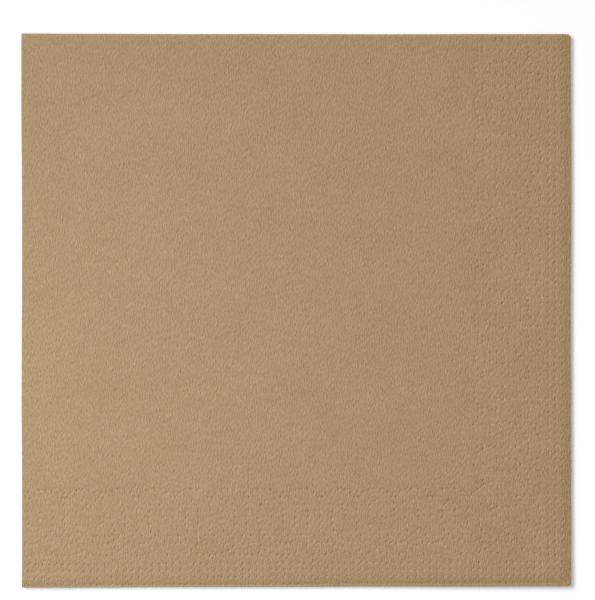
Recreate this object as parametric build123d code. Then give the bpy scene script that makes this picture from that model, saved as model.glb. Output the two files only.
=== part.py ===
from build123d import *
from math import pi
import os

# Paper lunch napkin: one sheet of embossed tissue, folded in half twice into a quarter.
#
# The first fold makes the left edge (-X). The folded pair is then folded in half again, and
# that second fold makes the far edge (+Y). The near end (-Y) and the right side (+X) are open
# and show the cut edges of the sheet. From the top down its four layers are an outer, an
# inner, an inner and an outer one, and all of them are one piece of paper.
#
# The napkin lies flat on Z = 0, with the origin under the middle of its outline.
# All sizes are in millimetres.

# The flat sheet
sheet_width = 328.0        # across the first fold
sheet_length = 330.0       # across the second fold
layer_thickness = 0.28     # both plies together, with the loft that embossing gives them
corner_radius = 0.9        # the four corners of the sheet, which meet where both open edges meet

# How it is folded
pair_gap = 0.12            # air between an outer and an inner layer
middle_gap = 0.20          # air between the two inner layers
side_overhang = 0.50       # how far the inner layers reach past the outer ones at the right

# Heights of the layers over the plane that the second fold turns about
layer_pitch = layer_thickness + pair_gap
inner_height = (middle_gap + layer_thickness) / 2
outer_height = inner_height + layer_pitch
half_height = outer_height + layer_thickness / 2

# The first fold turns about a line half way between an outer and an inner layer. What is left
# of the sheet's width is shared between the two layers, the inner one taking the overhang.
first_turn = layer_pitch / 2
first_reach = first_turn + layer_thickness / 2
inner_width = (sheet_width - pi * first_turn + side_overhang) / 2
outer_width = inner_width - side_overhang

# An outer layer goes further round the second fold than an inner one, so its end comes up
# short at the open side. At the first fold the two layers are joined, and end together.
inner_length = (sheet_length - pi * inner_height) / 2
end_shortfall = pi * layer_pitch / 2

folded_width = first_reach + inner_width
folded_length = half_height + inner_length
fold_x = first_reach - folded_width / 2
fold_y = folded_length / 2 - half_height
near_y = -folded_length / 2


def first_fold_section():
    """A cut across the first fold: an outer and an inner layer, joined by a half turn."""
    turn_height = inner_height + first_turn
    with BuildSketch(Plane.XZ.offset(-fold_y)) as section:
        with BuildLine():
            Line((fold_x + outer_width, outer_height), (fold_x, outer_height))
            CenterArc((fold_x, turn_height), first_turn, start_angle=90, arc_size=180)
            Line((fold_x, inner_height), (fold_x + inner_width, inner_height))
        trace(line_width=layer_thickness)
    return section.sketch


def end_trim():
    """The sliver that an outer layer lacks at the near end, from the first fold to the right."""
    right_x = fold_x + inner_width
    with BuildPart() as trim:
        with BuildSketch(Plane.XY.offset(inner_height + first_turn)):
            with BuildLine():
                Polyline(
                    (fold_x, near_y),
                    (right_x, near_y),
                    (right_x, near_y + end_shortfall),
                    close=True,
                )
            make_face()
        extrude(amount=half_height)
    return trim.part


def upper_half(section):
    """The two layers over the second fold's plane, from that fold to the near end."""
    half = extrude(section, amount=inner_length, dir=(0, -1, 0)) - end_trim()
    upright_edges = half.edges().filter_by(Axis.Z)
    sheet_corners = upright_edges.filter_by(lambda edge: edge.center().X > 0 > edge.center().Y)
    return fillet(sheet_corners, corner_radius)


def folded_sheet():
    """The upper half, its mirror image below, and the second fold that joins them."""
    section = first_fold_section()
    top = upper_half(section)
    second_fold = revolve(section, Axis((0, fold_y, 0), (-1, 0, 0)), revolution_arc=180)
    sheet = top + second_fold + mirror(top, about=Plane.XY)
    return Pos(0, 0, half_height) * sheet


os.makedirs("parts", exist_ok=True)
napkin = folded_sheet()
napkin.label = "napkin"
export_step(napkin, "parts/napkin.step")
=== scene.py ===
import math

import bmesh
import bpy
from mathutils import Matrix, Vector, noise


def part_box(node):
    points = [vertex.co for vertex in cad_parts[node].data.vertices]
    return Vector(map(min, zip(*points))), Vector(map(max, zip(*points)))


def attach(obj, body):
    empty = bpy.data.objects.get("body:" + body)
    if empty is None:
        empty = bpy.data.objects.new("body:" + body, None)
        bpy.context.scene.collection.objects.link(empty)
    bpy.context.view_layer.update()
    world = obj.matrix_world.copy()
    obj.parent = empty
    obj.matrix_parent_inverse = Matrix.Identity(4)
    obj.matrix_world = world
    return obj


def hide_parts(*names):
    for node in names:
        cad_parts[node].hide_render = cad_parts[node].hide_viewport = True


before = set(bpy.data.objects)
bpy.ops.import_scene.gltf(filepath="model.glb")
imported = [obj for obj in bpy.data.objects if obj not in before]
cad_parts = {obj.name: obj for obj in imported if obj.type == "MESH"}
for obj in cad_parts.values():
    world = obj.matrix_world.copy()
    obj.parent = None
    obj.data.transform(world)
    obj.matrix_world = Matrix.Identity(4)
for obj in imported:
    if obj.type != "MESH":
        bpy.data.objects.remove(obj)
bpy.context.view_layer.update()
mm = 0.001


# The sheet. A lunch napkin is one square of unbleached two-ply tissue. The knife that cuts it
# from the web leaves its four corners very slightly round.
low, high = (Vector(corner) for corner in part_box("napkin"))
folded = high - low
layer = 0.28 * mm          # both plies, with their loft
pair_gap = 0.12 * mm       # air between an outer and an inner layer
side_overhang = 0.5 * mm   # how far the inner layers show past the outer ones at the open side
corner_radius = 0.9 * mm

half_stack = folded.z / 2
layer_pitch = layer + pair_gap
outer_height = half_stack - layer / 2
inner_height = outer_height - layer_pitch
first_turn = layer_pitch / 2
first_reach = first_turn + layer / 2
quarter_turn = math.pi / 2

inner_across = folded.x - first_reach + first_turn * quarter_turn
outer_across = inner_across - side_overhang
half_along = folded.y - half_stack + inner_height * quarter_turn
sheet_width = inner_across + outer_across
sheet_length = 2 * half_along
cells = 66                 # squares of about 5 mm, enough for the paper's slow waves

paper = bmesh.new()
place = Matrix.Translation(((outer_across - inner_across) / 2, 0, -layer / 2))
bmesh.ops.create_grid(
    paper,
    x_segments=cells,
    y_segments=cells,
    size=0.5,
    matrix=place @ Matrix.Diagonal((sheet_width, sheet_length, 1, 1)),
)
corners = [vert for vert in paper.verts if len(vert.link_edges) == 2]
bmesh.ops.bevel(
    paper,
    geom=corners,
    offset=corner_radius,
    segments=3,
    profile=0.5,
    affect="VERTICES",
    material=-1,
)


# The border. Embossing rolls press rows of round dots into the tissue all round the sheet, and
# these bind the plies: four plain rows at the edge, then a band of small arches, eggs and darts
# over two swags. The band repeats along each side and is mitred at the corners.
dot_pitch = Vector((2.07, 2.04)) * mm      # across and along the sheet
first_row = Vector((0.15, 0.78)) * mm      # from the cut edge to the middle of the outermost row
rows = 4
repeat = Vector((10.95, 10.77)) * mm
egg_from_edge = Vector((3.14, 3.72)) * mm    # the egg nearest to a corner
arch_line = Vector((28.45, 29.1)) * mm     # from the cut edge to the top of the arches
border = 30.0 * mm
dot_radius = 0.46 * mm
dot_depth = 0.14 * mm
dot_unevenness = 0.5       # the rolls bite more in some places than in others
bite_length = 5 * mm       # over which that changes
dot_sides = 8
shoulder = 0.32            # of the radius, for each of the two rings round a dot's floor
shoulder_drops = (0.55, 0.45)
dot_room = dot_radius * 1.2

arch_dots, arch_drop = 6, 1.06 * mm
tassel_depth, tassel_spread = 2.55 * mm, 0.7 * mm
dart_dots, dart_top, dart_step = 5, 4.3 * mm, 2.0 * mm
egg_dots, egg_middle, egg_foot = 12, 8.7 * mm, 13.5 * mm
egg_half_width, egg_half_length = 2.0 * mm, 5.2 * mm
swags = ((7, 16.35 * mm, 2.5 * mm), (6, 19.8 * mm, 1.5 * mm))    # dots, depth, sag
chevron = ((1 / 8, 14.0 * mm), (3 / 8, 17.1 * mm))               # part of a repeat, depth


def spaced(curve, count):
    """Points an even distance apart along a closed curve, given by a fraction of the way round."""
    steps = 240
    points = [curve(step / steps) for step in range(steps + 1)]
    spans = [(b - a).length for a, b in zip(points, points[1:])]
    spacing = sum(spans) / count
    found = [points[0]]
    walked = 0
    for point, span in zip(points[1:], spans):
        walked += span
        if walked >= len(found) * spacing and len(found) < count:
            found.append(point)
    return found


def one_repeat(length):
    """The dots of one repeat of the band: how far each is along from the egg's middle, and how
    far below the top of the arches."""
    dots = []
    for k in range(arch_dots):
        along = (k / arch_dots - 0.5) * length
        dots.append((along, arch_drop * min(1, (3 * along / length) ** 2)))
    dots += [(length / 2 + side * tassel_spread, tassel_depth) for side in (-1, 1)]
    dots += [(length / 2, dart_top + dart_step * k) for k in range(dart_dots)]

    def egg(part):
        turn = 2 * math.pi * part
        across = egg_half_width * math.sin(turn)
        return Vector((across, egg_middle - egg_half_length * math.cos(turn)))

    dots += [tuple(point) for point in spaced(egg, egg_dots) if point.y < egg_foot]
    for count, depth, sag in swags:
        for k in range(count):
            along = k / count * length
            rise = (1 - 2 * min(along, length - along) / length) ** 2
            dots.append((along, depth - sag * rise))
    for side in (-1, 1):
        for part, depth in chevron:
            dots.append((length / 2 + side * length * part, depth))
    return dots


def border_dots():
    """Every dot of one quarter of the sheet, as its distances from the two cut edges."""
    reach = Vector((outer_across, half_along))
    turned = Vector((first_turn, outer_height)) * quarter_turn
    counts = [int((reach[side] - first_row[side]) / dot_pitch[side]) + 1 for side in (0, 1)]
    dots = [
        Vector((first_row.x + i * dot_pitch.x, first_row.y + j * dot_pitch.y))
        for i in range(counts[0])
        for j in range(counts[1])
        if min(i, j) < rows
    ]
    for along_axis in (0, 1):
        repeats = int(reach[along_axis] / repeat[along_axis]) + 2
        for k in range(-1, repeats):
            for along, below in one_repeat(repeat[along_axis]):
                from_edge = arch_line[1 - along_axis] - below
                from_corner = egg_from_edge[along_axis] + k * repeat[along_axis] + along
                if from_corner > from_edge:
                    dot = Vector((from_edge, from_edge))
                    dot[along_axis] = from_corner
                    dots.append(dot)
    kept = []
    for dot in dots:
        limits = [reach[side] - turned[side] - dot_room for side in (0, 1)]
        inside = all(dot_room < dot[side] < limits[side] for side in (0, 1))
        if inside and all((dot - other).length > 2 * dot_room for other in kept):
            kept.append(dot)
    return kept


def cut_line(axis, at):
    """Divides the flat sheet's squares along a straight line across it."""
    normal = Vector((0, 0, 0))
    normal[axis] = 1
    parts = paper.verts[:] + paper.edges[:] + paper.faces[:]
    bmesh.ops.bisect_plane(paper, geom=parts, plane_co=normal * at, plane_no=normal, dist=1e-7)


def open_border():
    """Takes away the plain squares of the border on the outer side of both outer quarters."""
    bends = Vector((first_turn, outer_height)) * quarter_turn
    inner_edge = Vector((outer_across, half_along)) - Vector((border, border))
    opened = []
    for face in paper.faces:
        x, y, z = face.calc_center_median()
        outer_quarter = x > bends.x and abs(y) > bends.y and z > layer * 0.49
        if outer_quarter and (x > inner_edge.x or abs(y) > inner_edge.y):
            opened.append(face)
    bmesh.ops.delete(paper, geom=opened, context="FACES")


def pressed_dots():
    """A mesh of the dots alone: shallow round pits with a soft shoulder and a flat floor."""
    pits = bmesh.new()
    for dot in border_dots():
        middle = Vector((outer_across - dot.x, half_along - dot.y, layer / 2))
        bmesh.ops.create_circle(
            pits,
            cap_ends=True,
            segments=dot_sides,
            radius=dot_radius,
            matrix=Matrix.Translation(middle),
        )
    floors = pits.faces[:]
    bmesh.ops.reverse_faces(pits, faces=[face for face in floors if face.normal.z < 0])
    for drop in shoulder_drops:
        bmesh.ops.inset_individual(
            pits,
            faces=floors,
            thickness=dot_radius * shoulder,
            depth=-dot_depth * drop,
        )
    for vert in pits.verts:
        bite = 1 + dot_unevenness * noise.noise(Vector((vert.co.x, vert.co.y, 0)) / bite_length)
        vert.co.z = layer / 2 + (vert.co.z - layer / 2) * bite
    parts = pits.verts[:] + pits.edges[:] + pits.faces[:]
    bmesh.ops.mirror(pits, geom=parts, matrix=Matrix(), merge_dist=-1, axis="Y")
    mesh = bpy.data.meshes.new("pits")
    pits.to_mesh(mesh)
    pits.free()
    return mesh


# The sheet takes its thickness: cut lines let it bend at the folds and thin out at its edges,
# its outer quarters get their dots, and the cut edge shows a fine line where the plies part.
plies_part = 0.03 * mm
edge_lines = [distance * mm for distance in (0.7, 1.4, 2.3, 3.5)]
first_bend = [first_turn * quarter_turn * k / 4 for k in range(-4, 5)]
second_bend = [inner_height * quarter_turn * k / 2 for k in range(-2, 3)]
outer_bend = outer_height - inner_height
second_bend += [
    side * (inner_height + outer_bend * k / 3) * quarter_turn
    for side in (-1, 1)
    for k in (1, 2, 3)
]
for at in first_bend + [outer_across - border]:
    cut_line(0, at)
for at in second_bend + [border - half_along, half_along - border]:
    cut_line(1, at)
for distance in edge_lines:
    for at in (outer_across - distance, distance - inner_across):
        cut_line(0, at)
    for at in (half_along - distance, distance - half_along):
        cut_line(1, at)

thickened = bmesh.ops.extrude_face_region(paper, geom=paper.faces[:])
raised = [part for part in thickened["geom"] if isinstance(part, bmesh.types.BMVert)]
bmesh.ops.translate(paper, verts=raised, vec=(0, 0, layer))
cut_line(2, 0)
parting = [vert for vert in paper.verts if abs(vert.co.z) < layer * 0.1]
narrower = (1 - 2 * plies_part / sheet_width, 1 - 2 * plies_part / sheet_length, 1)
bmesh.ops.scale(paper, verts=parting, vec=narrower, space=place.inverted())
bmesh.ops.recalc_face_normals(paper, faces=paper.faces)
open_border()
paper.from_mesh(pressed_dots())
open_edges = [edge for edge in paper.edges if edge.is_boundary]
bmesh.ops.triangle_fill(paper, use_beauty=True, edges=open_edges, normal=(0, 0, 1))
bmesh.ops.recalc_face_normals(paper, faces=paper.faces)


# The folds. The sheet is folded in half up its left side, and then in half again across its far
# end. It lies loosely: the second fold, with two layers inside it, stands a little proud, the
# open corner lifts, and at the cut edges each pair of layers clings together.
first_line = low.x + first_reach
second_line = high.y - half_stack
outer_leg = outer_across - first_turn * quarter_turn
end_slack = (outer_height - inner_height) * quarter_turn
edge_pinch = 0.70          # how much thinner the knife leaves the cut edge
edge_softness = 1.5 * mm
edge_cling = layer * edge_pinch + 0.8 * pair_gap
fold_loft = 0.22
fold_loft_reach = 7 * mm
corner_loft = 0.25
corner_sharpness = 6
wave_loft = 0.10
wave_length = 42 * mm
taper = 0.25 * mm          # how much nearer the far and near ends lie at the open side
stray = 0.28 * mm          # how far edges and folds wander from their straight lines
stray_length = 55 * mm
stray_by_layer = 30        # how much faster that changes from layer to layer
fray = 0.07 * mm
fray_length = 7 * mm
fray_by_layer = 8
wider_side = 0.3           # how far across the sheet keeps its true length
crease_angle = math.radians(50)
noise.seed_set(1)          # without a seed of its own, noise_vector changes from run to run


def wrap(distance, turn, reach):
    """Follows a half turn and the straight legs that leave it. Gives how far the point lies
    out past the turn's axis, and how far above it."""
    angle = distance / turn
    if abs(angle) < quarter_turn:
        return reach * math.cos(angle), reach * math.sin(angle)
    return turn * quarter_turn - abs(distance), math.copysign(reach, distance)


def fold(point):
    """Where a point of the flat sheet lies in the folded napkin."""
    to_side = min(outer_across - point.x, point.x + inner_across)
    to_edge = min(to_side, half_along - abs(point.y))
    at_edge = math.exp(-((to_edge / edge_softness) ** 2))
    off_middle = point.z * (1 - edge_pinch * at_edge)
    outward, rise = wrap(point.x, first_turn, first_turn + off_middle)
    middle_rise = wrap(point.x, first_turn, first_turn)[1]
    height = inner_height + first_turn + rise
    middle_height = inner_height + first_turn + middle_rise
    from_first_fold = min(1, max(0, -outward) / outer_leg)
    outer_share = (middle_height - inner_height) / (outer_height - inner_height)
    slack = 1 + end_slack * outer_share * (1 - from_first_fold) / half_along
    forward, lift = wrap(point.y * slack, middle_height, height)
    sinking = outer_share if point.y > 0 else 1 - outer_share
    lift -= edge_cling * at_edge * sinking
    return Vector((first_line - outward, second_line + forward, low.z + half_stack + lift))


def settle(point):
    """Where the relaxed paper lets that point come to rest."""
    wander = noise.noise_vector(Vector((point.x, point.y, stray_by_layer * point.z)) / stray_length)
    tremble = noise.noise_vector(Vector((point.x, point.y, fray_by_layer * point.z)) / fray_length)
    wave = noise.noise(Vector((point.x, point.y, 0)) / wave_length)
    across = (point.x - low.x) / folded.x
    along = (high.y - point.y) / folded.y
    loft = 1 + wave_loft * wave
    loft += fold_loft * math.exp(-along * folded.y / fold_loft_reach)
    loft += corner_loft * max(0, across * along) ** corner_sharpness
    drawn_in = taper * (across - wider_side) * (2 * along - 1)
    x = point.x + wander.x * stray + tremble.x * fray
    y = point.y + wander.y * stray + tremble.y * fray + drawn_in
    return Vector((x, y, low.z + (point.z - low.z) * loft))


flat_map = paper.loops.layers.uv.new("flat")
for face in paper.faces:
    for loop in face.loops:
        loop[flat_map].uv = loop.vert.co.xy
for vert in paper.verts:
    vert.co = settle(fold(vert.co))
bmesh.ops.recalc_face_normals(paper, faces=paper.faces)
if paper.calc_volume(signed=True) < 0:
    bmesh.ops.reverse_faces(paper, faces=paper.faces)
paper.normal_update()
for edge in paper.edges:
    edge.smooth = edge.calc_face_angle(0) < crease_angle
for face in paper.faces:
    face.smooth = True

napkin_mesh = bpy.data.meshes.new("folded_napkin")
paper.to_mesh(napkin_mesh)
paper.free()
napkin = bpy.data.objects.new("folded_napkin", napkin_mesh)
bpy.context.scene.collection.objects.link(napkin)
flatness = napkin.modifiers.new("flatness", "WEIGHTED_NORMAL")
flatness.keep_sharp = True


# The tissue's finish. Unbleached recycled fibre is a matt light brown, mottled by fibres that
# lie every way, saturated where they are dark and greyer where they are pale, with a fine crepe
# from the drying drum. A narrow band of painted light lies along the cut edges, where the thin
# tissue catches the light and lets it through.
def node(tree, kind, inputs=None, **settings):
    """Adds a node, sets its properties, and links or fills its inputs by name or number."""
    made = tree.nodes.new(kind)
    for name, value in settings.items():
        setattr(made, name, value)
    for name, value in (inputs or {}).items():
        if isinstance(value, bpy.types.NodeSocket):
            tree.links.new(value, made.inputs[name])
        else:
            made.inputs[name].default_value = value
    return made


def maths(tree, operation, *values):
    """Adds a Math node and gives its output."""
    return node(tree, "ShaderNodeMath", dict(enumerate(values)), operation=operation).outputs[0]


def tissue_pattern():
    """A node group over the flat sheet. Mottle runs from -1, dark, to 1, pale, and Relief is the
    height of fibres and crepe."""
    group = bpy.data.node_groups.new("tissue_pattern", "ShaderNodeTree")
    group.interface.new_socket("Place", in_out="INPUT", socket_type="NodeSocketVector")
    group.interface.new_socket("Mottle", in_out="OUTPUT", socket_type="NodeSocketFloat")
    group.interface.new_socket("Relief", in_out="OUTPUT", socket_type="NodeSocketFloat")
    place = node(group, "NodeGroupInput").outputs["Place"]

    def field(cell, stretch=1, turn=0, detail=0):
        """Noise about 0 with cells of this size, drawn out along a direction in degrees."""
        turned = node(
            group,
            "ShaderNodeMapping",
            {
                "Vector": place,
                "Rotation": (0, 0, math.radians(turn)),
                "Scale": (1 / cell, 1 / (cell * stretch), 1),
            },
        ).outputs[0]
        cloud = node(
            group,
            "ShaderNodeTexNoise",
            {"Vector": turned, "Scale": 1, "Detail": detail, "Roughness": 0.6},
            noise_dimensions="2D",
        )
        return maths(group, "SUBTRACT", cloud.outputs[0], 0.5)

    def blend(parts):
        """The weighted sum of these fields."""
        total = 0
        for part, weight in parts:
            total = maths(group, "MULTIPLY_ADD", part, weight, total)
        return total

    fibres = [field(0.42 * mm, 2.5, turn) for turn in (10, 70, 130)]
    grain = field(0.38 * mm, detail=1)
    blotches = field(3.2 * mm, detail=2)
    clouds = field(16 * mm, detail=2)
    crepe = field(0.6 * mm, 4, 0)
    mottle = [(fibre, 0.75) for fibre in fibres] + [(grain, 1.1), (blotches, 0.5), (clouds, 0.4)]
    relief = [(fibre, 0.5) for fibre in fibres] + [(grain, 0.6), (crepe, 0.15), (blotches, 0.5)]
    node(group, "NodeGroupOutput", {"Mottle": blend(mottle), "Relief": blend(relief)})
    return group


kraft = (0.406, 0.269, 0.130)
dark_share = (0.78, 0.72, 0.62)
pale_share = (1.22, 1.28, 1.38)
# Painted light along the cut edges: how wide the band is, and how far it lifts the colour.
edge_light_width = 0.5 * mm
edge_light_strength = 0.9
crepe_height = 0.12 * mm

tissue = bpy.data.materials.new("unbleached_tissue")
tissue.use_nodes = True
tree = tissue.node_tree
shader = tree.nodes["Principled BSDF"]
shader.inputs["Roughness"].default_value = 0.7
shader.inputs["Specular IOR Level"].default_value = 0.5
flat_place = node(tree, "ShaderNodeUVMap", uv_map="flat").outputs[0]
pattern = node(tree, "ShaderNodeGroup", {"Place": flat_place}, node_tree=tissue_pattern())
spot = node(tree, "ShaderNodeSeparateXYZ", {"Vector": flat_place}).outputs
to_open_side = maths(tree, "SUBTRACT", outer_across, spot[0])
to_inner_side = maths(tree, "ADD", spot[0], inner_across)
to_near_end = maths(tree, "SUBTRACT", half_along, maths(tree, "ABSOLUTE", spot[1]))
to_side = maths(tree, "MINIMUM", to_open_side, to_inner_side)
to_cut = maths(tree, "MINIMUM", to_side, to_near_end)
# Painted light: near the cut edges the colour is pushed towards the pale end of the ramp, on top of
# the fibres' own mottle.
edge_light_mask = node(tree, "ShaderNodeMapRange", {"Value": to_cut, "From Min": edge_light_width, "From Max": 0})
tone_and_edge_light = maths(tree, "MULTIPLY_ADD", edge_light_mask.outputs[0], edge_light_strength, pattern.outputs["Mottle"])
share = node(tree, "ShaderNodeMapRange", {"Value": tone_and_edge_light, "From Min": -1, "From Max": 1})
colours = node(tree, "ShaderNodeValToRGB", {"Fac": share.outputs[0]})
for stop, shares in zip(colours.color_ramp.elements, (dark_share, pale_share)):
    stop.color = [full * part for full, part in zip(kraft, shares)] + [1]
tree.links.new(colours.outputs[0], shader.inputs["Base Color"])
bump = node(
    tree,
    "ShaderNodeBump",
    {"Height": pattern.outputs["Relief"], "Distance": crepe_height},
)
tree.links.new(bump.outputs[0], shader.inputs["Normal"])
napkin.data.materials.append(tissue)

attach(napkin, "root")
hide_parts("napkin")


# The table that the napkin lies on, plain and white, with the napkin's own soft shadow.
table_reach = 3
table_white = 0.72
table_glow = 0.36

table_top = bmesh.new()
bmesh.ops.create_grid(
    table_top,
    x_segments=1,
    y_segments=1,
    size=table_reach,
    matrix=Matrix.Translation((0, 0, low.z)),
)
table_mesh = bpy.data.meshes.new("table")
table_top.to_mesh(table_mesh)
table_top.free()
table = bpy.data.objects.new("table", table_mesh)
bpy.context.scene.collection.objects.link(table)

white = bpy.data.materials.new("white_table")
white.use_nodes = True
tree = white.node_tree
tree.nodes.clear()
rays = node(tree, "ShaderNodeLightPath").outputs
mirrored = maths(tree, "MAXIMUM", rays["Is Glossy Ray"], rays["Is Transmission Ray"])
seen = maths(tree, "MAXIMUM", rays["Is Camera Ray"], mirrored)
paint = node(tree, "ShaderNodeBsdfDiffuse", {"Color": [table_white] * 3 + [1]}).outputs[0]
glow = node(tree, "ShaderNodeEmission", {"Strength": table_glow}).outputs[0]
lit_paint = node(tree, "ShaderNodeAddShader", {0: paint, 1: glow}).outputs[0]
surface = node(tree, "ShaderNodeMixShader", {0: seen, 1: paint, 2: lit_paint}).outputs[0]
node(tree, "ShaderNodeOutputMaterial", {"Surface": surface})
table.data.materials.append(white)


# The light and the camera. A broad lamp far off to the upper left gives the shadows, a small one
# hung near the left side fades across the napkin, and the room glows evenly. Together they are
# as bright as plain daylight on paper. The camera looks straight down.
top_middle = Vector(((low.x + high.x) / 2, (low.y + high.y) / 2, high.z))
far_share, near_share, room_share = 0.53, 0.25, 0.22
far_direction = Vector((-0.87, 0.80, 1)).normalized()
far_spread = math.radians(36)
near_place = Vector((-0.17, -0.04, 0.24))
near_size = 0.08
near_colour = (0.97, 1, 1.2)


def lamp(name, kind, offset, **settings):
    """A lamp at this offset from the middle of the napkin's top, turned towards it."""
    data = bpy.data.lights.new(name, kind)
    for setting, value in settings.items():
        setattr(data, setting, value)
    made = bpy.data.objects.new(name, data)
    made.location = top_middle + offset
    made.rotation_euler = (-offset).to_track_quat("-Z", "Y").to_euler()
    made.visible_camera = False
    bpy.context.scene.collection.objects.link(made)


lamp(
    "far_lamp",
    "SUN",
    far_direction,
    energy=far_share * math.pi / far_direction.z,
    angle=far_spread,
)
near_slope = near_place.normalized().z
lamp(
    "near_lamp",
    "AREA",
    near_place,
    energy=near_share * math.pi**2 * near_place.length_squared / near_slope,
    shape="DISK",
    size=near_size,
    color=near_colour,
)
room = bpy.data.worlds.new("room")
room.use_nodes = True
room_glow = room.node_tree.nodes["Background"].inputs
room_glow["Color"].default_value = (1, 1, 1, 1)
room_glow["Strength"].default_value = room_share
bpy.context.scene.world = room

view_height = 0.1792
view_middle = Vector((0.0003, 0.0032, 0))
lens = 150
camera_data = bpy.data.cameras.new("camera")
camera_data.lens = lens
camera_height = view_height * lens / camera_data.sensor_width
camera = bpy.data.objects.new("camera", camera_data)
camera.location = top_middle + view_middle + Vector((0, 0, camera_height))
bpy.context.scene.collection.objects.link(camera)
bpy.context.scene.camera = camera
bpy.context.scene.view_settings.view_transform = "Standard"
